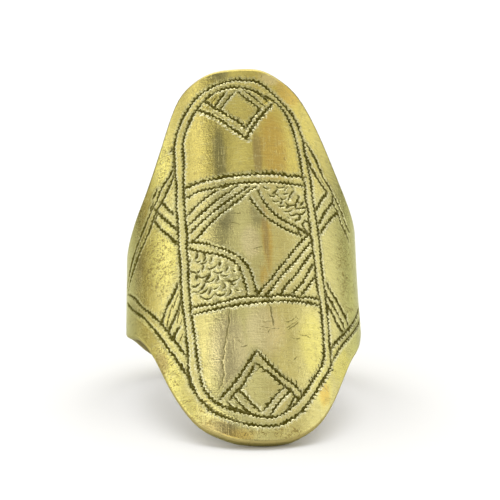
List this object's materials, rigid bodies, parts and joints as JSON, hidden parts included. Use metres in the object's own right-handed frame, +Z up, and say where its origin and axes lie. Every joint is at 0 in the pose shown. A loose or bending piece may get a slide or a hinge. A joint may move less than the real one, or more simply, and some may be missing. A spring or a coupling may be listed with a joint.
{
  "type": "shield ring",
  "caption": "Tall oval shield ring of engraved sheet brass: a long curved plate over the finger that narrows to a plain band behind it.",
  "frame": {"origin": "Middle of the finger hole: on its axis, at half the length of the shield", "axes": "The ring lies on its side on a surface. +Z is up, +X to the right of someone who faces the shield, +Y away from them. The finger's axis lies in the YZ plane, about 55.5 degrees above +Y, and the shield faces -Y and up"},
  "size_m": [0.021, 0.0291, 0.0291],
  "materials": {
    "brass": "hand-polished, with darkened engraving"
  },
  "bodies": {
    "root": {"ring": "brass"}
  },
  "joints": []
}
